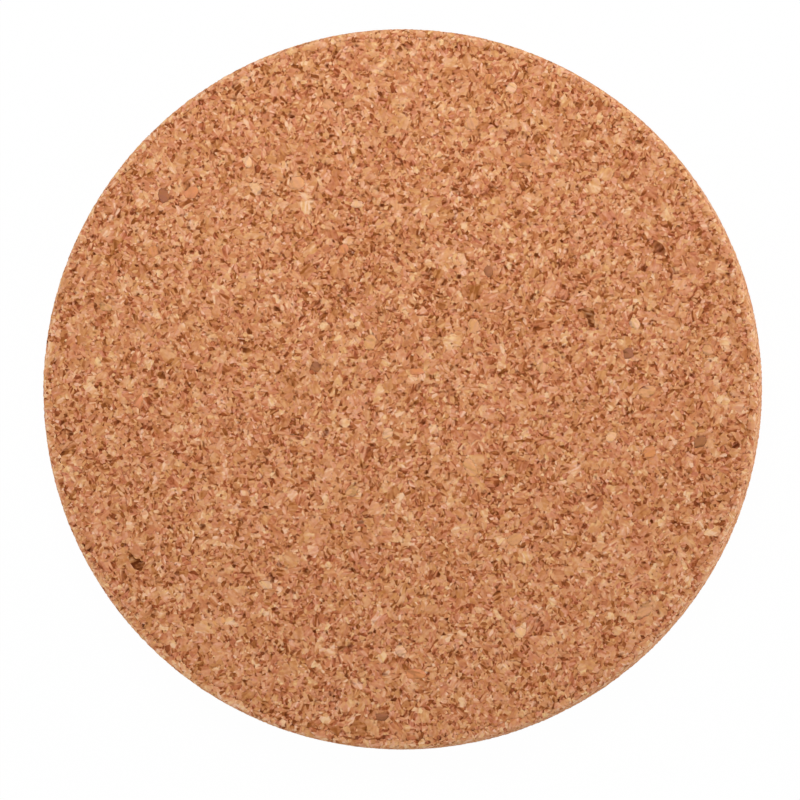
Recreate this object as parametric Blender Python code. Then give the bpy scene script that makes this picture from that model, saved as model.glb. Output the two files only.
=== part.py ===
"""Round cork coaster: a disc of bonded bark granulate with its coarsest granules as pieces of their own."""

import math
import random

import bmesh
import bpy
from mathutils import Euler, Matrix, Vector

# Disc, in metres
COASTER_DIAMETER = 0.100
COASTER_THICKNESS = 0.006
EDGE_ROUND = 0.0007
RIM_FACETS = 96
EDGE_ROUND_STEPS = 4
SMOOTH_BELOW = math.radians(40)

# Granules, in metres: length and width of each grade, and what holds them
GRADES = {
    "slab": (0.0032, 0.0018),
    "lump": (0.0025, 0.0018),
    "sliver": (0.0022, 0.0011),
    "chip": (0.0018, 0.0014),
}
GRANULE_DEPTH = 0.0012
BOND_LINE = 0.0001
POCKET_WALL = 0.0004
SUNK_SHARE = 0.3
RAGGEDNESS = 0.16

# Colour in linear red, green and blue of each tone, and the finish that they share
TONES = {
    "bonded": (0.58, 0.26, 0.115),
    "pale": (0.80, 0.48, 0.26),
    "tan": (0.67, 0.35, 0.13),
    "russet": (0.51, 0.17, 0.066),
    "bark": (0.19, 0.095, 0.05),
}
CORK_ROUGHNESS = 0.85
CORK_METALLIC = 0.0

# Top granules: grade, place across and along as shares of the field's radius, and turn in degrees
TOP_GRANULES = {
    "pale": (
        ("chip", 0.335, 0.894, 30),
        ("sliver", -0.128, 0.550, 5),
        ("sliver", -0.454, 0.680, 100),
        ("sliver", -0.433, 0.600, 122),
        ("sliver", 0.187, 0.384, 108),
        ("chip", -0.036, -0.133, 45),
        ("chip", 0.003, -0.780, 100),
        ("chip", 0.632, -0.147, 60),
        ("sliver", -0.398, -0.584, 149),
        ("chip", 0.362, -0.726, 0),
        ("chip", 0.703, 0.191, 150),
    ),
    "tan": (
        ("lump", -0.142, -0.302, 20),
        ("lump", -0.309, 0.615, 0),
        ("lump", -0.214, 0.847, 15),
        ("lump", -0.089, 0.140, 80),
        ("lump", 0.223, 0.185, 100),
        ("slab", 0.214, -0.239, 114),
        ("lump", 0.739, -0.011, 15),
        ("chip", 0.920, 0.111, 70),
        ("slab", 0.733, -0.658, 45),
        ("chip", -0.537, -0.691, 0),
        ("lump", 0.344, -0.450, 30),
        ("chip", 0.427, 0.060, 0),
        ("sliver", -0.881, 0.247, 0),
        ("lump", 0.217, 0.787, 20),
    ),
    "russet": (
        ("chip", 0.270, 0.921, 140),
        ("lump", 0.371, 0.678, 10),
        ("sliver", 0.053, 0.051, 10),
        ("chip", -0.169, 0.416, 50),
        ("slab", 0.045, -0.848, 0),
        ("lump", 0.748, -0.192, 40),
        ("lump", -0.623, 0.588, 20),
        ("lump", -0.739, 0.413, 30),
        ("chip", -0.781, -0.035, 80),
    ),
    "bark": (
        ("chip", -0.249, 0.066, 0),
        ("sliver", -0.053, -0.978, 0),
        ("chip", 0.683, 0.102, 60),
        ("lump", -0.709, 0.580, 85),
        ("chip", 0.267, 0.348, 120),
        ("lump", 0.899, -0.162, 40),
    ),
}

# Granules of the underside, on a spiral, and of the wall, evenly spaced
BASE_MIX = (("tan", "lump"), ("pale", "chip"), ("russet", "lump"), ("tan", "chip"), ("bark", "sliver"))
BASE_REPEATS = 2
SPIRAL_STEP = math.radians(137.5)
WALL_MIX = (("pale", "sliver"), ("tan", "chip"), ("russet", "chip"))
WALL_REPEATS = 2


def disc_radius():
    return COASTER_DIAMETER / 2


def field_radius():
    """Reach of the face granules' centres, which keeps their pockets clear of the edge and of the wall's."""
    longest = max(length for length, width in GRADES.values())
    rim = max(EDGE_ROUND, GRANULE_DEPTH + 2 * BOND_LINE)
    return disc_radius() - rim - POCKET_WALL - longest / 2


def clear_scene():
    for obj in list(bpy.data.objects):
        bpy.data.objects.remove(obj, do_unlink=True)


def cork_material(name, tone):
    material = bpy.data.materials.new(name)
    material.use_nodes = True
    shader = material.node_tree.nodes["Principled BSDF"]
    shader.inputs["Base Color"].default_value = (*TONES[tone], 1.0)
    shader.inputs["Roughness"].default_value = CORK_ROUGHNESS
    shader.inputs["Metallic"].default_value = CORK_METALLIC
    material.diffuse_color = (*TONES[tone], 1.0)
    return material


def new_object(name, bm, tone, parent):
    mesh = bpy.data.meshes.new(name)
    bm.to_mesh(mesh)
    bm.free()
    obj = bpy.data.objects.new(name, mesh)
    obj.parent = parent
    bpy.context.scene.collection.objects.link(obj)
    mesh.materials.append(cork_material(f"{name}_cork", tone))
    return obj


def make_body(parent):
    """The bonded disc, cut from a flat sheet and eased along both edges."""
    bm = bmesh.new()
    bmesh.ops.create_circle(bm, cap_ends=True, segments=RIM_FACETS, radius=disc_radius())
    base = bm.faces[:]
    raised = bmesh.ops.extrude_face_region(bm, geom=base, use_keep_orig=True)["geom"]
    top = [item for item in raised if isinstance(item, bmesh.types.BMVert)]
    bmesh.ops.translate(bm, verts=top, vec=(0, 0, COASTER_THICKNESS))
    bmesh.ops.recalc_face_normals(bm, faces=bm.faces[:])
    rims = [edge for edge in bm.edges if edge.verts[0].co.z == edge.verts[1].co.z]
    bmesh.ops.bevel(
        bm, geom=rims, offset=EDGE_ROUND, offset_type="OFFSET", segments=EDGE_ROUND_STEPS,
        profile=0.5, affect="EDGES", material=-1,
    )
    body = new_object("cork_body", bm, "bonded", parent)
    body.data.shade_smooth()
    body.data.set_sharp_from_angle(angle=SMOOTH_BELOW)
    return body


def add_granule(bm, name, grade, growth=0.0):
    """Adds an angular granule that breaks through local z = 0; growth swells it into its pocket."""
    draw = random.Random(name)
    length, width = GRADES[grade]
    half = Vector((length / 2, width / 2, GRANULE_DEPTH * (1 - SUNK_SHARE)))
    tumble = Euler([draw.uniform(0, math.tau) for axis in range(3)]).to_matrix()
    verts = bmesh.ops.create_icosphere(bm, subdivisions=1, radius=1.0)["verts"]
    for vert in verts:
        vert.co = tumble @ vert.co * draw.uniform(1 - RAGGEDNESS, 1 + RAGGEDNESS)
        vert.co = vert.co * half - Vector((0, 0, SUNK_SHARE * GRANULE_DEPTH))
    bm.normal_update()
    for vert in verts:
        vert.co += vert.normal * growth
    return verts


def cut_at_face(bm):
    """Trims a granule level with the face that it breaks through, and closes the cut."""
    everything = bm.verts[:] + bm.edges[:] + bm.faces[:]
    cut = bmesh.ops.bisect_plane(
        bm, geom=everything, plane_co=(0, 0, 0), plane_no=(0, 0, 1), clear_outer=True
    )["geom_cut"]
    rim = [item for item in cut if isinstance(item, bmesh.types.BMEdge)]
    bmesh.ops.edgeloop_fill(bm, edges=rim)
    bmesh.ops.recalc_face_normals(bm, faces=bm.faces[:])


def make_granule(name, tone, grade, place, pockets, parent):
    """One granule at its place, and its pocket among the cutters."""
    bm = bmesh.new()
    add_granule(bm, name, grade)
    cut_at_face(bm)
    granule = new_object(name, bm, tone, parent)
    granule.matrix_world = place
    pocket = add_granule(pockets, name, grade, BOND_LINE)
    bmesh.ops.transform(pockets, matrix=place, verts=pocket)


def top_place(across, along, turn):
    spot = Vector((across, along, 0)) * field_radius() + Vector((0, 0, COASTER_THICKNESS))
    return Matrix.Translation(spot) @ Matrix.Rotation(math.radians(turn), 4, "Z")


def base_place(step, count):
    """On a spiral of even spread, with the granule turned over to break through the underside."""
    reach = field_radius() * math.sqrt((step + 0.5) / count)
    bearing = step * SPIRAL_STEP
    spot = Vector((reach * math.cos(bearing), reach * math.sin(bearing), 0))
    return Matrix.Translation(spot) @ Matrix.Rotation(bearing, 4, "Z") @ Matrix.Rotation(math.pi, 4, "X")


def wall_place(step, count):
    """Halfway up the wall, in the middle of one of its facets."""
    facet = math.tau / RIM_FACETS
    bearing = (step * RIM_FACETS // count + 0.5) * facet
    reach = disc_radius() * math.cos(facet / 2)
    outward = Matrix.Rotation(bearing, 4, "Z") @ Matrix.Rotation(math.pi / 2, 4, "Y")
    spot = Vector((reach * math.cos(bearing), reach * math.sin(bearing), COASTER_THICKNESS / 2))
    return Matrix.Translation(spot) @ outward @ Matrix.Rotation(math.pi / 2, 4, "Z")


def granule_schedule():
    """Name, tone, grade and place of every granule."""
    for tone, granules in TOP_GRANULES.items():
        for number, (grade, across, along, turn) in enumerate(granules, 1):
            yield f"top_{tone}_granule_{number:02d}", tone, grade, top_place(across, along, turn)
    base = BASE_MIX * BASE_REPEATS
    for step, (tone, grade) in enumerate(base):
        yield f"base_{tone}_granule_{step + 1:02d}", tone, grade, base_place(step, len(base))
    wall = WALL_MIX * WALL_REPEATS
    for step, (tone, grade) in enumerate(wall):
        yield f"wall_{tone}_granule_{step + 1:02d}", tone, grade, wall_place(step, len(wall))


def cut_pockets(body, pockets):
    """Opens the granules' pockets in the bonded disc."""
    cutter = new_object("granule_pockets", pockets, "bonded", body.parent)
    cutter.hide_render = True
    cutter.display_type = "WIRE"
    cut = body.modifiers.new("pockets", "BOOLEAN")
    cut.operation = "DIFFERENCE"
    cut.solver = "EXACT"
    cut.object = cutter


def main():
    clear_scene()
    coaster = bpy.data.objects.new("coaster", None)
    bpy.context.scene.collection.objects.link(coaster)
    body = make_body(coaster)
    pockets = bmesh.new()
    for name, tone, grade, place in granule_schedule():
        make_granule(name, tone, grade, place, pockets, coaster)
    cut_pockets(body, pockets)


main()
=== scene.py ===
"""Looks of a round cork coaster, laid out as an add-on and built round the coaster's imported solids."""

import math
import random

import bmesh
import bpy
from bpy.props import FloatProperty, FloatVectorProperty, IntProperty, PointerProperty
from mathutils import Matrix, Vector, geometry, kdtree, noise


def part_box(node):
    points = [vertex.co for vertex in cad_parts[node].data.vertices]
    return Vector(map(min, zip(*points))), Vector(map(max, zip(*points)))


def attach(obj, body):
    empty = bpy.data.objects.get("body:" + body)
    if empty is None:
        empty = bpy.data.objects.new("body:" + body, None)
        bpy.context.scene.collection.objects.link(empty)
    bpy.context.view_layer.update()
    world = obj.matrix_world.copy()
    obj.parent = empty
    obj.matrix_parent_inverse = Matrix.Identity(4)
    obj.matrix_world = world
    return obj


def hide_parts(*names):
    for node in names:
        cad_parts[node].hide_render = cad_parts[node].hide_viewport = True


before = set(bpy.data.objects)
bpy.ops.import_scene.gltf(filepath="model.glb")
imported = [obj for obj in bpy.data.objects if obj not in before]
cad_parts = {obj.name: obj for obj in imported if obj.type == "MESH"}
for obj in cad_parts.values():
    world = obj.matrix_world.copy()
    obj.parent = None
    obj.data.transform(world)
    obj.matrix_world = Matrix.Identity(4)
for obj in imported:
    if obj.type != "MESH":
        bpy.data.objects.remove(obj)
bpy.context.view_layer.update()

BODY = "cork_body"
BODY_LOW, BODY_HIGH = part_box(BODY)

bl_info = {
    "name": "Cork Coaster",
    "version": (1, 0, 0),
    "blender": (4, 5, 0),
    "location": "3D View > Sidebar > Coaster",
    "description": "Granule skins, coarse granules and stage of a round cork coaster",
    "category": "Object",
}

# Outlines of coarse granules, in metres: how deep a cut face may dip, and the shortest side that counts
CUT_DIP = 0.00003
SHORTEST_SIDE = 0.00001

# Seam between a face's skin and the rim's: waves and ripples to a radius, the ripples' share and the swing
SEAM_WAVES = 30
SEAM_RIPPLES = 90
RIPPLE_SHARE = 0.4
SEAM_SWING = 0.6

# Granules: the counts of cells that one may have and the odds of each
GRANULE_CELLS = (1, 2, 3, 4, 5, 7, 11, 16)
GRANULE_ODDS = (55, 23.5, 11, 3.7, 2.4, 1.6, 0.8, 0.3)

# How a granule gathers cells: what a step across its lean adds, and the most that chance adds
ACROSS_LEAN = 0.7
GROWTH_WOBBLE = 1.5

# Borders of granules: how far they are pulled to a coarse granule's outline, and how far eased
OUTLINE_PULL = 0.6
BORDER_EASE = 0.7

# Slabs, the granules whose cells stay flat: chance for each cell past the first, and the most
SLAB_CHANCE = 0.2
SLAB_MOST = 0.85

# Shades of granules from dark at 0 to pale at 1, and warmths from reddish at 0 to golden at 1
SMALL_SHADES = (0.24, 0.66)
SMALL_WARMTHS = (0.0, 1.0)
CHIP_SHADES = (0.4, 0.75)
CHIP_WARMTHS = (0.25, 0.65)
SLAB_SHADES = ((0.4, 0.62), (0.6, 1.0), (0.12, 0.32))
SLAB_ODDS = (46, 42, 12)
SLAB_WARMTHS = (0.2, 1.2)
SLAB_MOTTLE = 0.06

# Joints: how much more those of slabs and of coarse granules gape, and how fast wide ones get rare
SLAB_GAPE = 0.4
CHIP_GAPE = -0.4
GAPE_FALL = 1.8

# Relief: depths of joints as shares of an ordinary one's, and how far a cell's tip strays in it
JOINT_DEPTHS = (0.2, 1.0)
TIP_STRAY = 0.4

# Corners between granules, where shade is painted: how far they open, and how that varies in patches, so
# many to a metre
HOLE_SPREAD = (0.5, 2.2)
HOLE_PATCHES = 350
PATCH_SHARE = 0.3

# Wide corners, with deeper painted shade: how far they open, and how much of that reaches the corners beside
# them
WIDE_HOLES = (0.9, 1.3)
HOLE_RUN = 0.3

# Painted shade at the border of a torn-out granule's pit, which is 1 at its bottom
TORN_SIDES = 0.75

# Crumbs inside a granule: how plainly they show, and how their pattern steps from granule to granule
SLAB_GRIT = 0.45
CHIP_GRIT = 0.7
PATTERN_STEP = 1.7
PATTERN_CYCLE = 97

# How far shades run together inside a granule, and at a slab's border as a share of the softness
INNER_SOFTNESS = 0.9
SLAB_SOFTNESS = 0.4

# Rim, a paler rubbed finish with painted light on top: where it sets in, how far it lifts and levels the
# shades, and how far it fills joints
RUB_AND_LIGHT_FROM = 0.5
RUB_AND_LIGHT_LIFT = 0.46
RUB_AND_LIGHT_LEVELLING = 0.3
RUB_AND_LIGHT_FILLING = 0.3

# Coarse granules: width of the floor as a share of the face, and the darkest and lightest tints
CHIP_TAPER = 0.9
CHIP_DARKEST = 0.62
CHIP_LIGHTEST = 1.14

# Map of a face's finish: half the width and the middle of the skin and of the hidden sides
SKIN_ON_MAP = (0.495, 0.5)
HIDDEN_ON_MAP = (0.04, 0.05)

# Map of the rim's finish: the strips, and the share that the rim takes of each
STRIPS = 6
STRIP_LENGTH = 0.93
STRIP_HEIGHT = 0.92
STRIP_MARGIN = 0.04

# Mottle in the finish: its scale to a metre, the span of its figures, and what it adds to shade and to the
# painted shade of joints
MOTTLE_SCALE = 2000.0
MOTTLE_SPAN = (0.25, 0.75)
MOTTLE_SHADE = (-0.1, 0.1)
MOTTLE_JOINT = (-0.45, 0.2)

# Speckle in the finish, finer than the mottle: it varies value and roughness and gives a slight relief
SPECKLE_SCALE = 3600.0
SPECKLE_SPAN = (0.3, 0.7)
SPECKLE_VALUE = (0.975, 1.025)
SPECKLE_ROUGHNESS = (0.78, 0.92)
SPECKLE_RELIEF = 0.00002
SPECKLE_STRENGTH = 0.25

# Gloss of the cork, as a level of the shader's reflection
GLOSS = 0.1

# Crumbs in the finish: how they run together, and what they do to shade, to the painted shade of pits and to
# blueness
CRUMB_BLEND = 0.62
CRUMB_SHADE = (-0.62, 0.62)
PIT_SPAN = (0.47, 0.12)
PIT_DARK = (0.0, 0.54)
CRUMB_BLUES = (0.82, 1.18)

# Painted shade, with binder colour, in joints and pits: where they turn dark, and what that adds to the
# shade
DARK_SPAN = (0.2, 1.25)
DARK_SHADE = -0.28

# Hues of the most reddish and the most golden granules, where 0.5 leaves a colour as it is
WARMTH_HUES = (0.4917, 0.506)

# Span of a figure that runs from none to all
UNIT = (0.0, 1.0)

# Stage, in metres: the lamps' widths and places, the ground and what the camera takes in
KEY_WIDTH = 0.14
KEY_PLACE = (-0.01, 0.12, 0.205)
LOW_LAMP_WIDTH = 0.3
SIDE_PLACE = (0.4, 0.02, 0.09)
LEFT_PLACE = (-0.34, -0.2, 0.09)
GROUND_REACH = 8
GROUND_GAP = 0.00002
NEAREST = 0.1
FARTHEST = 20

# Finish of the ground: how white it is, and how much of what shows of it is plain white without shadow
GROUND_GREY = 0.9
GROUND_GLOW = 0.985


class CoasterSizes(bpy.types.PropertyGroup):
    """Lengths and counts of the coaster's granule skins."""

    radius: FloatProperty(
        name="Radius", description="Radius of the disc", unit="LENGTH", precision=4,
        default=(BODY_HIGH.x - BODY_LOW.x) / 2,
    )
    thickness: FloatProperty(
        name="Thickness", description="Height of the disc", unit="LENGTH", precision=4,
        default=BODY_HIGH.z - BODY_LOW.z,
    )
    edge_round: FloatProperty(
        name="Edge Round", description="Radius of the eased edges", unit="LENGTH", precision=4,
        default=0.0007,
    )
    seam_stray: FloatProperty(
        name="Seam Stray", description="How far the skins of face and rim wander past each other",
        unit="LENGTH", precision=5, default=0.0012,
    )
    face_steps: IntProperty(
        name="Face Steps", description="Lattice steps from the middle of a face to its rim", default=174,
    )
    rim_steps: IntProperty(
        name="Rim Steps", description="Lattice steps round the rim, a multiple of three", default=1128,
    )
    scatter: FloatProperty(
        name="Scatter", description="How far a lattice point strays, as a share of the step",
        subtype="FACTOR", default=0.42,
    )
    chip_spread: FloatProperty(
        name="Chip Spread", description="How far a coarse granule spreads past its solid's cut face",
        unit="LENGTH", precision=5, default=0.00016,
    )
    crumb_length: FloatProperty(
        name="Crumb Length", description="Length of the crumbs that show in a granule", unit="LENGTH",
        precision=5, default=0.00105,
    )
    crumb_width: FloatProperty(
        name="Crumb Width", description="Width of the crumbs that show in a granule", unit="LENGTH",
        precision=5, default=0.00034,
    )
    joint_width: FloatProperty(
        name="Joint Width", description="Clearance round a coarse granule in its pocket", unit="LENGTH",
        precision=5, default=0.00001,
    )
    joint_depth: FloatProperty(
        name="Joint Depth", description="Depth of an ordinary joint between granules", unit="LENGTH",
        precision=5, default=0.00008,
    )
    pit_depth: FloatProperty(
        name="Pit Depth", description="Depth of torn-out granules and of pockets", unit="LENGTH",
        precision=5, default=0.00035,
    )
    pit_share: FloatProperty(
        name="Pit Share", description="Share of the small granules that are torn out", subtype="FACTOR",
        default=0.006,
    )
    gape: FloatProperty(
        name="Gape", description="How many joints gape, as the first figure of a beta spread",
        default=0.25,
    )
    holes: FloatProperty(
        name="Holes", description="Share of the corners between granules that are wide open",
        subtype="FACTOR", default=0.012,
    )
    softness: FloatProperty(
        name="Softness", description="How far the shades of neighbouring granules run together",
        subtype="FACTOR", default=0.75,
    )
    unevenness: FloatProperty(
        name="Unevenness", description="How far granules lie below the face", unit="LENGTH", precision=5,
        default=0.00005,
    )


class CoasterColours(bpy.types.PropertyGroup):
    """Linear colours of the cork."""

    cream: FloatVectorProperty(
        name="Cream", description="Palest crumbs", subtype="COLOR", default=(0.866, 0.524, 0.3),
    )
    pale: FloatVectorProperty(
        name="Pale", description="Pale crumbs", subtype="COLOR", default=(0.768, 0.387, 0.199),
    )
    tan: FloatVectorProperty(
        name="Tan", description="Ordinary crumbs", subtype="COLOR", default=(0.642, 0.265, 0.1185),
    )
    russet: FloatVectorProperty(
        name="Russet", description="Reddish crumbs", subtype="COLOR", default=(0.488, 0.164, 0.061),
    )
    bark: FloatVectorProperty(
        name="Bark", description="Dark crumbs", subtype="COLOR", default=(0.325, 0.091, 0.024),
    )
    # Binder colour, which also stands for the painted shade at the bottom of joints and pits
    binder_and_shade: FloatVectorProperty(
        name="Binder and painted shade", description="Binder at the bottom of joints and pits", subtype="COLOR",
        default=(0.12, 0.023, 0.003),
    )
    pale_chip: FloatVectorProperty(
        name="Pale Chips", description="Pale coarse granules", subtype="COLOR",
        default=(0.83, 0.468, 0.252),
    )
    tan_chip: FloatVectorProperty(
        name="Tan Chips", description="Tan coarse granules", subtype="COLOR",
        default=(0.705, 0.34, 0.155),
    )
    russet_chip: FloatVectorProperty(
        name="Russet Chips", description="Reddish coarse granules", subtype="COLOR",
        default=(0.68, 0.27, 0.114),
    )
    bark_chip: FloatVectorProperty(
        name="Bark Chips", description="Coarse granules of outer bark", subtype="COLOR",
        default=(0.385, 0.148, 0.065),
    )


class CoasterStage(bpy.types.PropertyGroup):
    """View and light."""

    tilt: FloatProperty(
        name="Tilt", description="Angle of the view off the disc's axis", subtype="ANGLE",
        default=math.radians(6.9),
    )
    bearing: FloatProperty(
        name="Bearing", description="Side that the view leans to, from +X", subtype="ANGLE",
        default=math.radians(-18),
    )
    distance: FloatProperty(
        name="Distance", description="Camera to top face", unit="LENGTH", default=2.0,
    )
    frame_width: FloatProperty(
        name="Frame Width", description="Width of the picture at the top face", unit="LENGTH", precision=4,
        default=0.11092,
    )
    aim: FloatVectorProperty(
        name="Aim", description="Point of the top face in the middle of the picture, as seen", size=2,
        unit="LENGTH", precision=5, default=(0.00006, -0.00158),
    )
    key_power: FloatProperty(
        name="Key Power", description="Power of the lamp above the far side in watts", default=0.28,
    )
    side_power: FloatProperty(
        name="Side Power", description="Power of the low lamp at the right in watts", default=0.72,
    )
    left_power: FloatProperty(
        name="Left Power", description="Power of the low lamp at the near left in watts", default=0.4,
    )
    fill: FloatProperty(
        name="Fill", description="Brightness of the surroundings", default=0.44,
    )


def shown(name, bm, material, slot, *nodes):
    """Puts a finished bmesh in the scene as a piece of the disc, in place of the named solids."""
    mesh = bpy.data.meshes.new(name)
    bm.to_mesh(mesh)
    bm.free()
    piece = bpy.data.objects.new(name, mesh)
    bpy.context.scene.collection.objects.link(piece)
    mesh.materials.append(material)
    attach(piece, "root")
    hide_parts(*nodes)
    return piece


class Outline:
    """Convex outline of a coarse granule on the flat skin of its side."""

    def __init__(self, name, points):
        self.name = name
        corners = [points[corner] for corner in geometry.convex_hull_2d(points)]
        self.middle = sum(corners, Vector((0, 0))) / len(corners)
        self.reach = max((corner - self.middle).length for corner in corners)
        self.sides = []
        for here, there in zip(corners, corners[1:] + corners[:1]):
            along = there - here
            out = Vector((along.y, -along.x)).normalized()
            if out.dot(here - self.middle) < 0:
                out.negate()
            if along.length > SHORTEST_SIDE:
                self.sides.append((out, out.dot(here)))

    def beyond(self, place):
        """How far a place lies outside the outline, less than nothing inside it, and which way out is."""
        return max(((out.dot(place) - reach, out) for out, reach in self.sides), key=lambda side: side[0])


def outlines_of(side, flatten):
    """Outlines of one side's coarse granules; flatten gives a point's place on that side's flat skin."""
    outlines = []
    for name, node in sorted(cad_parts.items()):
        if name.startswith(side):
            places = [flatten(vert.co) for vert in node.data.vertices]
            level = max(place.z for place in places)
            cut = [place.to_2d() for place in places if level - place.z < CUT_DIP]
            outlines.append(Outline(name, cut))
    return outlines


def seam_radius(out, sizes):
    """Where the skin of a face meets that of the rim, in a direction from the middle."""
    way = Vector((out.x, abs(out.y), 0))
    wander = noise.noise(way * SEAM_WAVES) + RIPPLE_SHARE * noise.noise(way * SEAM_RIPPLES)
    inward = min(max(0.5 + SEAM_SWING * wander, 0.0), 1.0)
    return sizes.radius - sizes.edge_round - sizes.seam_stray * inward


def third(a, b):
    """Which of three interleaved sets a lattice point belongs to."""
    return (round(a) - round(b)) % 3


def disc_lattice(sizes):
    """A triangle lattice cut to a disc, with every third point dissolved, which leaves honeycomb cells."""
    bm = bmesh.new()
    flat = math.cos(math.pi / 6)
    step = sizes.radius / sizes.face_steps
    rings = math.ceil(sizes.face_steps / flat) + 1
    bmesh.ops.create_circle(bm, cap_ends=True, cap_tris=True, segments=6, radius=rings * step)
    bmesh.ops.subdivide_edges(bm, edges=bm.edges[:], cuts=rings - 1, use_grid_fill=True)
    middles = []
    for vert in bm.verts:
        b = vert.co.x / flat / step
        if third(vert.co.y / step - b / 2, b) == 0:
            middles.append(vert)
    bmesh.ops.dissolve_verts(bm, verts=middles)
    beyond = []
    for face in bm.faces:
        middle = face.calc_center_median()
        if middle.length > seam_radius(middle.normalized(), sizes):
            beyond.append(face)
    bmesh.ops.delete(bm, geom=beyond, context="FACES")
    for vert in bm.verts:
        if vert.is_boundary:
            out = vert.co.normalized()
            vert.co = out * seam_radius(out, sizes)
    return bm


def standing(item):
    """A figure to sort edges or faces by place, because extruding gives them a new order every time."""
    return sum(vert.co.x + math.sqrt(2) * vert.co.y for vert in item.verts) / len(item.verts)


def ring_lattice(sizes):
    """The same kind of honeycomb on a flat ring as wide as the rim's skin, cut where it meets the faces'."""
    bm = bmesh.new()
    width = rim_length(sizes) + 2 * sizes.seam_stray
    inner = sizes.radius - width / 2
    turn = math.tau / sizes.rim_steps
    rows = round(width / (math.sin(math.pi / 3) * turn * sizes.radius))
    bmesh.ops.create_circle(bm, segments=sizes.rim_steps, radius=inner)
    edges = bm.edges[:]
    for row in range(rows):
        made = bmesh.ops.extrude_edge_only(bm, edges=edges)["geom"]
        verts = [item for item in made if isinstance(item, bmesh.types.BMVert)]
        fresh = set(verts)
        edges = [
            item for item in made
            if isinstance(item, bmesh.types.BMEdge) and fresh.issuperset(item.verts)
        ]
        growth = (inner + width * (row + 1) / rows) / (inner + width * row / rows)
        outward = Matrix.Rotation(turn / 2, 4, "Z") @ Matrix.Diagonal((growth, growth, 1, 1))
        bmesh.ops.transform(bm, matrix=outward, verts=verts)
    bm.edges.sort(key=standing)
    bm.faces.sort(key=standing)
    bmesh.ops.triangulate(bm, faces=bm.faces[:], quad_method="SHORT_EDGE")
    middles = []
    for vert in bm.verts:
        row = round((vert.co.length - inner) / width * rows)
        if third(math.atan2(-vert.co.x, vert.co.y) / turn - row / 2, row) == 0:
            middles.append(vert)
    bmesh.ops.dissolve_verts(bm, verts=middles)
    beyond = []
    for face in bm.faces:
        middle = face.calc_center_median()
        if abs(middle.length - sizes.radius) > rim_reach(middle.normalized(), sizes):
            beyond.append(face)
    bmesh.ops.delete(bm, geom=beyond, context="FACES")
    for vert in bm.verts:
        if vert.is_boundary:
            out = vert.co.normalized()
            reach = math.copysign(rim_reach(out, sizes), vert.co.length - sizes.radius)
            vert.co = out * (sizes.radius + reach)
    return bm


def scatter_points(bm, draw, stray):
    """Moves the lattice's inner points about, so that cells differ in size and shape."""
    for vert in bm.verts:
        if not vert.is_boundary:
            bearing = draw.uniform(0, math.tau)
            vert.co += Vector((math.cos(bearing), math.sin(bearing), 0)) * stray * draw.random() ** 0.5


def spread(other, cell, lean):
    """How far a cell lies from the first of its granule, less along the granule's lean than across it."""
    way = other.calc_center_median() - cell.calc_center_median()
    along = way.dot(Vector((math.cos(lean), math.sin(lean), 0)))
    across = math.sqrt(max(0.0, way.length_squared - along * along))
    return math.hypot(way.length, ACROSS_LEAN * across)


def gather_granules(bm, draw, outlines, spill):
    """Numbers the cells by granule, the coarse ones first, and melts the cells of all but slabs together."""
    granule = bm.faces.layers.int.new("granule")
    slab = bm.faces.layers.int.new("slab")
    cells = bm.faces[:]
    middles = kdtree.KDTree(len(cells))
    for index, cell in enumerate(cells):
        middles.insert(cell.calc_center_median(), index)
    middles.balance()
    for number, outline in enumerate(outlines, 1):
        for place, index, distance in middles.find_range(outline.middle.to_3d(), outline.reach + spill):
            if outline.beyond(place.to_2d())[0] < spill:
                cells[index][granule] = number
                cells[index][slab] = 1
    for vert in bm.verts:
        held = {face[granule] for face in vert.link_faces}
        if len(held) == 2 and 0 in held:
            distance, out = outlines[max(held) - 1].beyond(vert.co.to_2d())
            vert.co -= out.to_3d() * (distance - spill) * OUTLINE_PULL
    number = len(outlines)
    draw.shuffle(cells)
    for cell in cells:
        if cell[granule]:
            continue
        number += 1
        cell[granule] = number
        wanted = draw.choices(GRANULE_CELLS, GRANULE_ODDS)[0]
        members = [cell]
        lean = draw.uniform(0, math.tau)
        while len(members) < wanted:
            near = [
                other for member in members for edge in member.edges for other in edge.link_faces
                if not other[granule]
            ]
            if not near:
                break
            chosen = min(
                near, key=lambda other: spread(other, cell, lean) * draw.uniform(1.0, GROWTH_WOBBLE),
            )
            chosen[granule] = number
            members.append(chosen)
        plain = draw.random() < min(SLAB_MOST, SLAB_CHANCE * len(members) - SLAB_CHANCE)
        for member in members:
            member[slab] = plain
    inside = [
        edge for edge in bm.edges
        if len(edge.link_faces) == 2 and edge.link_faces[0][granule] == edge.link_faces[1][granule]
        and not edge.link_faces[0][slab]
    ]
    bmesh.ops.dissolve_edges(bm, edges=inside, use_verts=True)
    for vert in bm.verts:
        ends = [
            edge.other_vert(vert).co for edge in vert.link_edges
            if len({face[granule] for face in edge.link_faces}) == 2
        ]
        if len(ends) == 2 and not vert.is_boundary:
            vert.co = vert.co.lerp((ends[0] + ends[1]) / 2, BORDER_EASE)


def tint_granules(bm, draw, chips):
    """Gives every granule its shade, warmth and lean, and the cells of slabs slightly different shades."""
    granule = bm.faces.layers.int["granule"]
    slab = bm.faces.layers.int["slab"]
    shade = bm.faces.layers.float.new("shade")
    warmth = bm.faces.layers.float.new("warmth")
    lean = bm.faces.layers.float.new("lean")
    tints = {}
    for face in bm.faces:
        if face[granule] not in tints:
            shades, warmths = SMALL_SHADES, SMALL_WARMTHS
            if face[granule] <= chips:
                shades, warmths = CHIP_SHADES, CHIP_WARMTHS
            elif face[slab]:
                shades, warmths = draw.choices(SLAB_SHADES, SLAB_ODDS)[0], SLAB_WARMTHS
            tints[face[granule]] = (
                draw.uniform(*shades), draw.uniform(*warmths), draw.uniform(0, math.tau),
            )
        face[shade], face[warmth], face[lean] = tints[face[granule]]
        if face[slab]:
            face[shade] += draw.gauss(0.0, SLAB_MOTTLE)


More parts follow.
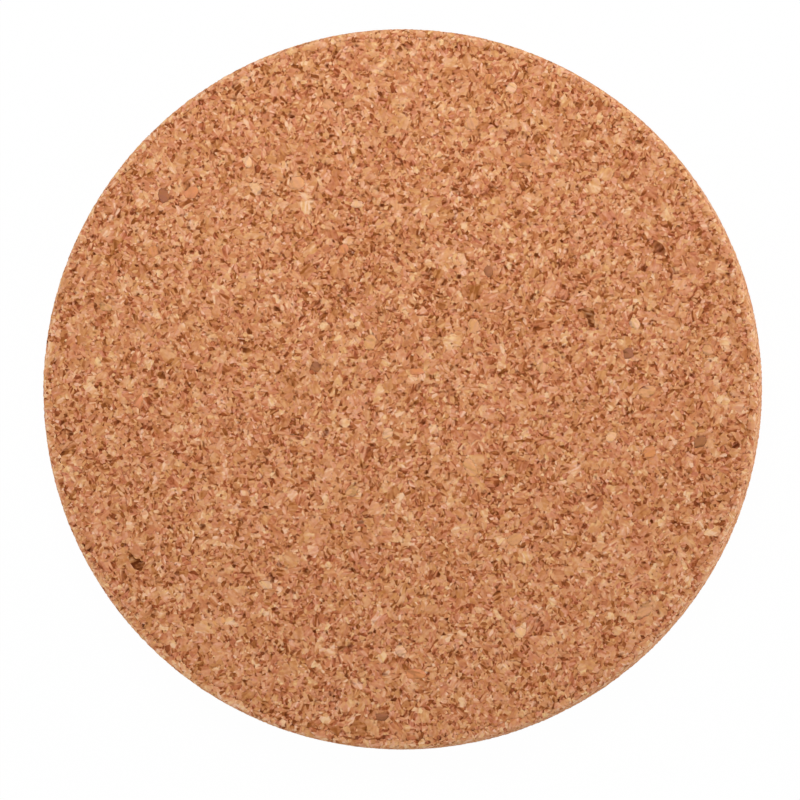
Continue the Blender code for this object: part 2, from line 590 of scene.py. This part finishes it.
def part_joints(bm, draw, sizes, chips):
    """Lets every joint between granules gape by its own amount, most of them hardly at all."""
    granule = bm.faces.layers.int["granule"]
    slab = bm.faces.layers.int["slab"]
    gap = bm.edges.layers.float.new("gap")
    for edge in bm.edges:
        joined = {face[granule] for face in edge.link_faces}
        if len(joined) == 2:
            more = SLAB_GAPE * sum(face[slab] for face in edge.link_faces)
            if min(joined) <= chips:
                more = CHIP_GAPE
            edge[gap] = draw.betavariate(sizes.gape * (1 + more), GAPE_FALL)


def raise_granules(bm, draw, sizes):
    """Sinks the joints, gives every cell a tip and tears a few of the small granules out."""
    granule = bm.faces.layers.int["granule"]
    slab = bm.faces.layers.int["slab"]
    gap = bm.edges.layers.float["gap"]
    for vert in bm.verts:
        if len({face[granule] for face in vert.link_faces}) > 1:
            width = max(edge[gap] for edge in vert.link_edges)
            vert.co.z = -sizes.joint_depth * (draw.uniform(*JOINT_DEPTHS) + width)
    torn = bm.verts.layers.int.new("torn")
    for tip in bmesh.ops.poke(bm, faces=bm.faces[:], center_mode="MEAN")["verts"]:
        if tip.link_faces[0][slab]:
            continue
        reach = min(edge.calc_length() for edge in tip.link_edges)
        bearing = draw.uniform(0, math.tau)
        tip.co += Vector((math.cos(bearing), math.sin(bearing), 0)) * reach * TIP_STRAY * draw.random()
        tip[torn] = draw.random() < sizes.pit_share
        tip.co.z = -sizes.pit_depth if tip[torn] else -sizes.unevenness * draw.random()


def shade_corners(bm, draw, sizes, chips):
    """Lays out the crumbs, runs neighbours' shades together, and paints shade into joints and torn-out
    granules.
    """
    granule = bm.faces.layers.int["granule"]
    slab = bm.faces.layers.int["slab"]
    shade = bm.faces.layers.float["shade"]
    gap = bm.edges.layers.float["gap"]
    torn = bm.verts.layers.int["torn"]
    tone = bm.loops.layers.float.new("tone")
    crevice = bm.loops.layers.float.new("crevice")
    grit = bm.faces.layers.float.new("grit")
    lean = bm.faces.layers.float["lean"]
    grain = bm.loops.layers.float_vector.new("grain")
    for face in bm.faces:
        face[grit] = SLAB_GRIT if face[slab] else 1.0
        if face[granule] <= chips:
            face[grit] = CHIP_GRIT
        along = Vector((math.cos(face[lean]), math.sin(face[lean]))) / sizes.crumb_length
        across = Vector((-math.sin(face[lean]), math.cos(face[lean]))) / sizes.crumb_width
        for loop in face.loops:
            spot = loop.vert.co.to_2d()
            loop[grain] = (along.dot(spot), across.dot(spot), PATTERN_STEP * (face[granule] % PATTERN_CYCLE))
    whole = {vert for vert in bm.verts if len({face[granule] for face in vert.link_faces}) == 1}
    hole = {}
    for vert in bm.verts:
        patch = 1.0 + PATCH_SHARE * noise.noise(vert.co * HOLE_PATCHES)
        hole[vert] = draw.betavariate(*HOLE_SPREAD) * patch
        if draw.random() < sizes.holes:
            hole[vert] = draw.uniform(*WIDE_HOLES)
        if vert in whole:
            hole[vert] = 0.0
    for vert in bm.verts:
        mean = sum(face[shade] for face in vert.link_faces) / len(vert.link_faces)
        widest = max(hole[edge.other_vert(vert)] for edge in vert.link_edges)
        open_here = max(hole[vert], HOLE_RUN * widest if widest > WIDE_HOLES[0] else 0.0)
        for loop in vert.link_loops:
            own = loop.face[shade]
            share = sizes.softness * (SLAB_SOFTNESS if loop.face[slab] else 1.0)
            if vert in whole:
                share = INNER_SOFTNESS
            loop[tone] = own + (mean - own) * share
            # The crevice figure is painted shade in gaping joints and open corners, later mixed with binder
            # colour
            loop[crevice] = max(open_here, loop.edge[gap], loop.link_loop_prev.edge[gap])
            if vert in whole:
                loop[crevice] = open_here
    # Torn-out granules get painted shade, darkest at the bottom of their pits
    for vert in bm.verts:
        if vert[torn]:
            for face in vert.link_faces:
                for loop in face.loops:
                    loop[crevice] = 1.0 if loop.vert == vert else TORN_SIDES


def lift_chips(bm, outlines, sizes):
    """Takes the coarse granules out of the skin, closes each to a piece and leaves their pockets."""
    granule = bm.faces.layers.int["granule"]
    every = bm.copy()
    number_of = every.faces.layers.int["granule"]
    others = [face for face in every.faces if face[number_of] > len(outlines)]
    bmesh.ops.delete(every, geom=others, context="FACES")
    chips = {}
    for number, outline in enumerate(outlines, 1):
        chip = every.copy()
        number_of = chip.faces.layers.int["granule"]
        others = [face for face in chip.faces if face[number_of] != number]
        bmesh.ops.delete(chip, geom=others, context="FACES")
        close_below(chip, sizes.pit_depth - sizes.joint_width, CHIP_TAPER)
        chips[outline.name] = chip
    every.free()
    held = [face for face in bm.faces if face[granule] <= len(outlines)]
    pockets = bmesh.ops.dissolve_faces(bm, faces=held, use_verts=False)["region"]
    bmesh.ops.inset_individual(bm, faces=pockets, thickness=sizes.joint_width)
    for pocket in pockets:
        for vert in pocket.verts:
            vert.co.z = -sizes.pit_depth
    return chips


def close_below(bm, depth, taper):
    """Closes a skin with a wall that runs down from its border and a flat floor."""
    border = [edge for edge in bm.edges if edge.is_boundary]
    made = bmesh.ops.extrude_edge_only(bm, edges=border)["geom"]
    low = [item for item in made if isinstance(item, bmesh.types.BMVert)]
    middle = sum((vert.co for vert in low), Vector()) / len(low)
    for vert in low:
        vert.co = middle + (vert.co - middle) * taper
        vert.co.z = -depth
    bmesh.ops.holes_fill(bm, edges=[edge for edge in bm.edges if edge.is_boundary], sides=0)
    bmesh.ops.recalc_face_normals(bm, faces=bm.faces[:])


def granulate(bm, draw, sizes, step, outlines):
    """Turns a flat honeycomb into a granule skin; returns its coarse granules."""
    scatter_points(bm, draw, sizes.scatter * step)
    gather_granules(bm, draw, outlines, sizes.chip_spread)
    tint_granules(bm, draw, len(outlines))
    part_joints(bm, draw, sizes, len(outlines))
    raise_granules(bm, draw, sizes)
    shade_corners(bm, draw, sizes, len(outlines))
    for face in bm.faces:
        face.smooth = True
    return lift_chips(bm, outlines, sizes)


def make_face(name, side, sizes, colours, place):
    """The skin of one face on a plate half as thick as the disc, with its coarse granules."""
    draw = random.Random(name)
    flatten = place.inverted()
    outlines = outlines_of(side, lambda point: flatten @ point)
    bm = disc_lattice(sizes)
    chips = granulate(bm, draw, sizes, sizes.radius / sizes.face_steps, outlines)
    skin = set(bm.faces)
    close_below(bm, sizes.thickness / 2, 1.0)
    layer = bm.loops.layers.uv.new("OFBake")
    for face in bm.faces:
        share, corner = SKIN_ON_MAP if face in skin else HIDDEN_ON_MAP
        for loop in face.loops:
            loop[layer].uv = loop.vert.co.to_2d() / sizes.radius * share + Vector((corner, corner))
    bmesh.ops.transform(bm, matrix=place, verts=bm.verts[:])
    shown(name, bm, skin_material(f"{name}_cork", colours), "cork_bonded", BODY)
    for node, chip in chips.items():
        bmesh.ops.transform(chip, matrix=place, verts=chip.verts[:])
        show_chip(node, chip, colours)


def show_chip(node, bm, colours):
    """Shows a coarse granule in the tone that its solid's name gives."""
    tone = node.split("_")[1]
    name = f"cork_{tone}_chip"
    material = bpy.data.materials.get(name)
    if not material:
        material = chip_material(name, getattr(colours, f"{tone}_chip"), colours)
    shown(node.replace("granule", "chip"), bm, material, f"cork_{tone}", node)


def rim_length(sizes):
    """Length of the rim's section, over both eased edges and the wall."""
    return sizes.thickness - 2 * sizes.edge_round + math.pi * sizes.edge_round


def rim_reach(out, sizes):
    """How far the rim's skin runs from the middle of the wall to where it meets a face's skin."""
    return rim_length(sizes) / 2 + sizes.radius - sizes.edge_round - seam_radius(out, sizes)


def fold_rim(place, sizes):
    """Takes a point of the flat ring over the lower eased edge, up the wall and over the upper one."""
    ease = sizes.edge_round
    quarter = ease * math.pi / 2
    half = sizes.thickness / 2 - ease
    out = place.to_2d().normalized()
    along = place.to_2d().length - sizes.radius
    past = min(max(abs(along) - half, 0), quarter)
    flat = max(abs(along) - half - quarter, 0)
    reach = sizes.radius - ease - flat + (ease + place.z) * math.cos(past / ease)
    rise = min(abs(along), half) + (ease + place.z) * math.sin(past / ease)
    return Vector((out.x * reach, out.y * reach, sizes.thickness / 2 + math.copysign(rise, along)))


def rub_and_light_rim(bm, sizes):
    """Rubs the granules of the wall and of the eased edges lighter and smoother than the faces'; part of the
    lift is painted light.
    """
    tone = bm.loops.layers.float["tone"]
    crevice = bm.loops.layers.float["crevice"]
    for vert in bm.verts:
        inside = rim_length(sizes) / 2 - abs(vert.co.to_2d().length - sizes.radius)
        rubbed_and_lit = min(max(inside / sizes.edge_round + RUB_AND_LIGHT_FROM, 0), 1)
        for loop in vert.link_loops:
            # The lift is partly paler rubbed cork and partly painted light for the less lit rim; the filling
            # thins the joints' painted shade
            loop[tone] += rubbed_and_lit * (RUB_AND_LIGHT_LIFT - RUB_AND_LIGHT_LEVELLING * loop[tone])
            loop[crevice] *= 1 - RUB_AND_LIGHT_FILLING * rubbed_and_lit


def unfold_rim(place, sizes):
    """Where a point of the wall lies on the flat ring."""
    out = place.to_2d().normalized()
    along = place.z - sizes.edge_round + sizes.edge_round * math.pi / 2
    reach = sizes.radius - rim_length(sizes) / 2 + along
    return Vector((out.x * reach, out.y * reach, place.to_2d().length - sizes.radius))


def lay_rim_map(bm, sizes):
    """Lays the ring on the map for its finish, as strips one above the other."""
    layer = bm.loops.layers.uv.new("OFBake")
    width = rim_length(sizes) + 2 * sizes.seam_stray
    for face in bm.faces:
        middle = face.calc_center_median()
        strip = min(STRIPS - 1, int((math.atan2(middle.y, middle.x) / math.tau + 0.5) * STRIPS))
        back = Matrix.Rotation(-((strip + 0.5) / STRIPS - 0.5) * math.tau, 4, "Z")
        for loop in face.loops:
            spot = back @ loop.vert.co
            across = math.atan2(spot.y, spot.x) / math.tau * STRIPS
            up = (spot.to_2d().length - sizes.radius) / width + 0.5
            rise = strip + STRIP_MARGIN + up * STRIP_HEIGHT
            loop[layer].uv = (0.5 + across * STRIP_LENGTH, rise / STRIPS)


def put(tree, kind, sockets, **settings):
    """Adds a shader node; a socket that is given another node's output is linked to it."""
    node = tree.nodes.new(kind)
    for name, value in settings.items():
        setattr(node, name, value)
    for key, value in sockets.items():
        if isinstance(value, bpy.types.NodeSocket):
            tree.links.new(value, node.inputs[key])
        else:
            node.inputs[key].default_value = value
    return node


def ranged(tree, value, span, wanted):
    """Maps a value from one span to another, and keeps it inside that."""
    return put(tree, "ShaderNodeMapRange", {
        "Value": value, "From Min": span[0], "From Max": span[1], "To Min": wanted[0], "To Max": wanted[1],
    }).outputs["Result"]


def cork_material(name, stops, low, high, joint, binder_and_shade):
    """Cork in tones from low to high on a ramp of stops; joint is how far its joints and pits turn to binder
    colour and painted shade.
    """
    material = bpy.data.materials.new(name)
    material.use_nodes = True
    tree = material.node_tree
    shader = tree.nodes["Principled BSDF"]
    place = put(tree, "ShaderNodeTexCoord", {}).outputs["Object"]
    tone = put(tree, "ShaderNodeAttribute", {}, attribute_name="tone").outputs["Fac"]
    warmth = put(tree, "ShaderNodeAttribute", {}, attribute_name="warmth").outputs["Fac"]
    crevice = put(tree, "ShaderNodeAttribute", {}, attribute_name="crevice").outputs["Fac"]
    grit = put(tree, "ShaderNodeAttribute", {}, attribute_name="grit").outputs["Fac"]
    lie = put(tree, "ShaderNodeAttribute", {}, attribute_name="grain").outputs["Vector"]
    crumb = put(tree, "ShaderNodeTexVoronoi", {
        "Vector": lie, "Scale": 1.0, "Smoothness": CRUMB_BLEND, "Randomness": 1.0,
    }, feature="SMOOTH_F1").outputs["Color"]
    mottle = put(tree, "ShaderNodeTexNoise", {
        "Vector": place, "Scale": MOTTLE_SCALE, "Detail": 0.0,
    }).outputs["Fac"]
    speckle = put(tree, "ShaderNodeTexNoise", {
        "Vector": place, "Scale": SPECKLE_SCALE, "Detail": 0.0,
    }).outputs["Fac"]
    plain = put(tree, "ShaderNodeMath", {
        0: ranged(tree, tone, UNIT, (low, high)), 1: ranged(tree, mottle, MOTTLE_SPAN, MOTTLE_SHADE),
    }).outputs[0]
    level = put(tree, "ShaderNodeMath", {
        0: ranged(tree, crumb, UNIT, CRUMB_SHADE), 1: grit, 2: plain,
    }, operation="MULTIPLY_ADD").outputs[0]
    # Painted shade, partly binder colour, in joints, open corners and dark crumb pits
    open_joint = put(tree, "ShaderNodeMath", {
        0: crevice, 1: ranged(tree, mottle, MOTTLE_SPAN, MOTTLE_JOINT),
    }).outputs[0]
    pitted = put(tree, "ShaderNodeMath", {
        0: ranged(tree, crumb, PIT_SPAN, PIT_DARK), 1: grit, 2: open_joint,
    }, operation="MULTIPLY_ADD").outputs[0]
    dark = ranged(tree, pitted, DARK_SPAN, (0.0, joint))
    sunk = put(tree, "ShaderNodeMath", {
        0: dark, 1: DARK_SHADE, 2: level,
    }, operation="MULTIPLY_ADD").outputs[0]
    ramp = put(tree, "ShaderNodeValToRGB", {"Fac": sunk})
    elements = ramp.color_ramp.elements
    for spot, colour in stops[1:-1]:
        elements.new(spot)
    for element, (spot, colour) in zip(elements, stops):
        element.position = spot
        element.color = (*colour, 1)
    varied = put(tree, "ShaderNodeHueSaturation", {
        "Hue": ranged(tree, warmth, UNIT, WARMTH_HUES),
        "Value": ranged(tree, speckle, SPECKLE_SPAN, SPECKLE_VALUE),
        "Color": ramp.outputs["Color"],
    }).outputs["Color"]
    blue = put(tree, "ShaderNodeSeparateColor", {"Color": crumb}).outputs["Blue"]
    tint = put(tree, "ShaderNodeCombineXYZ", {
        "X": 1.0, "Y": 1.0, "Z": ranged(tree, blue, UNIT, CRUMB_BLUES),
    }).outputs[0]
    tinted = put(tree, "ShaderNodeVectorMath", {0: varied, 1: tint}, operation="MULTIPLY").outputs[0]
    # Turns the dark joints and pits towards binder colour, which also stands for painted shade
    mixed = put(tree, "ShaderNodeMix", {0: dark, 6: tinted, 7: (*binder_and_shade, 1)}, data_type="RGBA")
    tree.links.new(mixed.outputs[2], shader.inputs["Base Color"])
    tree.links.new(ranged(tree, speckle, SPECKLE_SPAN, SPECKLE_ROUGHNESS), shader.inputs["Roughness"])
    shader.inputs["Specular IOR Level"].default_value = GLOSS
    bump = put(tree, "ShaderNodeBump", {
        "Height": speckle, "Strength": SPECKLE_STRENGTH, "Distance": SPECKLE_RELIEF,
    })
    tree.links.new(bump.outputs["Normal"], shader.inputs["Normal"])
    return material


def skin_material(name, colours):
    """Bonded cork, from bark crumbs to cream ones."""
    stops = (
        (0.02, colours.bark), (0.18, colours.russet), (0.5, colours.tan), (0.8, colours.pale),
        (0.98, colours.cream),
    )
    return cork_material(name, stops, low=0.1, high=0.9, joint=1.0, binder_and_shade=colours.binder_and_shade)


def chip_material(name, colour, colours):
    """One tone of coarse granule."""
    stops = ((0.0, colour * CHIP_DARKEST), (0.5, colour), (1.0, colour * CHIP_LIGHTEST))
    return cork_material(name, stops, low=0.2, high=0.8, joint=0.7, binder_and_shade=colours.binder_and_shade)


class COASTER_OT_faces(bpy.types.Operator):
    """Makes the granule skins of the top and of the underside, with their coarse granules"""

    bl_idname = "coaster.faces"
    bl_label = "Faces"

    def execute(self, context):
        sizes = context.scene.coaster_sizes
        colours = context.scene.coaster_colours
        make_face("top_face", "top_", sizes, colours, Matrix.Translation((0, 0, sizes.thickness)))
        make_face("base_face", "base_", sizes, colours, Matrix.Rotation(math.pi, 4, "X"))
        return {"FINISHED"}


class COASTER_OT_rim(bpy.types.Operator):
    """Makes the granule skin of the wall and of both eased edges, with its coarse granules"""

    bl_idname = "coaster.rim"
    bl_label = "Rim"

    def execute(self, context):
        sizes = context.scene.coaster_sizes
        colours = context.scene.coaster_colours
        outlines = outlines_of("wall_", lambda point: unfold_rim(point, sizes))
        bm = ring_lattice(sizes)
        step = math.tau * sizes.radius / sizes.rim_steps
        chips = granulate(bm, random.Random("rim"), sizes, step, outlines)
        rub_and_light_rim(bm, sizes)
        lay_rim_map(bm, sizes)
        for vert in bm.verts:
            vert.co = fold_rim(vert.co, sizes)
        bmesh.ops.bridge_loops(bm, edges=[edge for edge in bm.edges if edge.is_boundary])
        bmesh.ops.recalc_face_normals(bm, faces=bm.faces[:])
        shown("rim", bm, skin_material("rim_cork", colours), "cork_bonded", BODY)
        for node, chip in chips.items():
            for vert in chip.verts:
                vert.co = fold_rim(vert.co, sizes)
            bmesh.ops.reverse_faces(chip, faces=chip.faces[:])
            show_chip(node, chip, colours)
        return {"FINISHED"}


class COASTER_OT_stage(bpy.types.Operator):
    """Sets the ground, the light and the camera"""

    bl_idname = "coaster.stage"
    bl_label = "Stage"

    def execute(self, context):
        scene = context.scene
        stage = scene.coaster_stage
        top = Vector((0, 0, scene.coaster_sizes.thickness))
        bm = bmesh.new()
        below = Matrix.Translation((0, 0, -GROUND_GAP))
        bmesh.ops.create_grid(bm, x_segments=1, y_segments=1, size=GROUND_REACH, matrix=below)
        mesh = bpy.data.meshes.new("ground")
        bm.to_mesh(mesh)
        bm.free()
        mesh.materials.append(ground_material())
        ground = bpy.data.objects.new("ground", mesh)
        scene.collection.objects.link(ground)
        add_lamp("key", stage.key_power, KEY_WIDTH, Vector(KEY_PLACE), top)
        add_lamp("side", stage.side_power, LOW_LAMP_WIDTH, Vector(SIDE_PLACE), top)
        add_lamp("left", stage.left_power, LOW_LAMP_WIDTH, Vector(LEFT_PLACE), top)
        light_world(scene, stage.fill)
        lean = Matrix.Rotation(stage.bearing, 3, "Z") @ Matrix.Rotation(stage.tilt, 3, "Y")
        back = lean @ Vector((0, 0, 1))
        right = Vector((0, 1, 0)).cross(back).normalized()
        up = back.cross(right)
        lens = bpy.data.cameras.new("camera")
        lens.lens = lens.sensor_width * stage.distance / stage.frame_width
        lens.clip_start = NEAREST
        lens.clip_end = FARTHEST
        camera = bpy.data.objects.new("camera", lens)
        spot = top + right * stage.aim[0] + up * stage.aim[1] + back * stage.distance
        camera.matrix_world = Matrix.Translation(spot) @ Matrix((right, up, back)).transposed().to_4x4()
        scene.collection.objects.link(camera)
        scene.camera = camera
        scene.view_settings.view_transform = "Standard"
        return {"FINISHED"}


def add_lamp(name, power, width, place, target):
    """Adds a soft round lamp that faces the coaster."""
    light = bpy.data.lights.new(name, "AREA")
    light.shape = "DISK"
    light.size = width
    light.energy = power
    lamp = bpy.data.objects.new(name, light)
    lamp.location = place
    lamp.rotation_euler = (target - place).to_track_quat("-Z", "Y").to_euler()
    lamp.visible_camera = False
    bpy.context.scene.collection.objects.link(lamp)


def in_view(tree):
    """One where the camera sees a thing, also in a reflection or through glass, and otherwise nothing."""
    path = put(tree, "ShaderNodeLightPath", {}).outputs
    mirrored = put(tree, "ShaderNodeMath", {
        0: path["Is Camera Ray"], 1: path["Is Glossy Ray"],
    }, operation="MAXIMUM").outputs[0]
    return put(tree, "ShaderNodeMath", {
        0: mirrored, 1: path["Is Transmission Ray"],
    }, operation="MAXIMUM").outputs[0]


def ground_material():
    """White ground that keeps a faint shadow."""
    material = bpy.data.materials.new("white_ground")
    material.use_nodes = True
    tree = material.node_tree
    tree.nodes.clear()
    paper = put(tree, "ShaderNodeBsdfDiffuse", {"Color": (GROUND_GREY, GROUND_GREY, GROUND_GREY, 1)})
    glow = put(tree, "ShaderNodeEmission", {"Strength": 1.0})
    share = ranged(tree, in_view(tree), UNIT, (0.0, GROUND_GLOW))
    mixed = put(tree, "ShaderNodeMixShader", {0: share, 1: paper.outputs[0], 2: glow.outputs[0]})
    put(tree, "ShaderNodeOutputMaterial", {"Surface": mixed.outputs[0]})
    return material


def light_world(scene, fill):
    """Even surroundings at the fill's level, white where the camera sees them."""
    world = bpy.data.worlds.new("surroundings")
    world.use_nodes = True
    scene.world = world
    tree = world.node_tree
    background = tree.nodes["Background"]
    background.inputs["Color"].default_value = (1, 1, 1, 1)
    strength = ranged(tree, in_view(tree), UNIT, (fill, 1.0))
    tree.links.new(strength, background.inputs["Strength"])


class COASTER_PT_panel(bpy.types.Panel):
    """Lists the steps of the coaster"""

    bl_idname = "COASTER_PT_panel"
    bl_label = "Coaster"
    bl_space_type = "VIEW_3D"
    bl_region_type = "UI"
    bl_category = "Coaster"

    def draw(self, context):
        for step in STEPS:
            self.layout.operator(step.bl_idname)


STEPS = (COASTER_OT_faces, COASTER_OT_rim, COASTER_OT_stage)
GROUPS = (CoasterSizes, CoasterColours, CoasterStage)


def register():
    for item in GROUPS + STEPS + (COASTER_PT_panel,):
        bpy.utils.register_class(item)
    bpy.types.Scene.coaster_sizes = PointerProperty(type=CoasterSizes)
    bpy.types.Scene.coaster_colours = PointerProperty(type=CoasterColours)
    bpy.types.Scene.coaster_stage = PointerProperty(type=CoasterStage)


def unregister():
    del bpy.types.Scene.coaster_sizes
    del bpy.types.Scene.coaster_colours
    del bpy.types.Scene.coaster_stage
    for item in reversed(GROUPS + STEPS + (COASTER_PT_panel,)):
        bpy.utils.unregister_class(item)


def main():
    register()
    bpy.ops.coaster.faces()
    bpy.ops.coaster.rim()
    bpy.ops.coaster.stage()


if __name__ == "__main__":
    main()
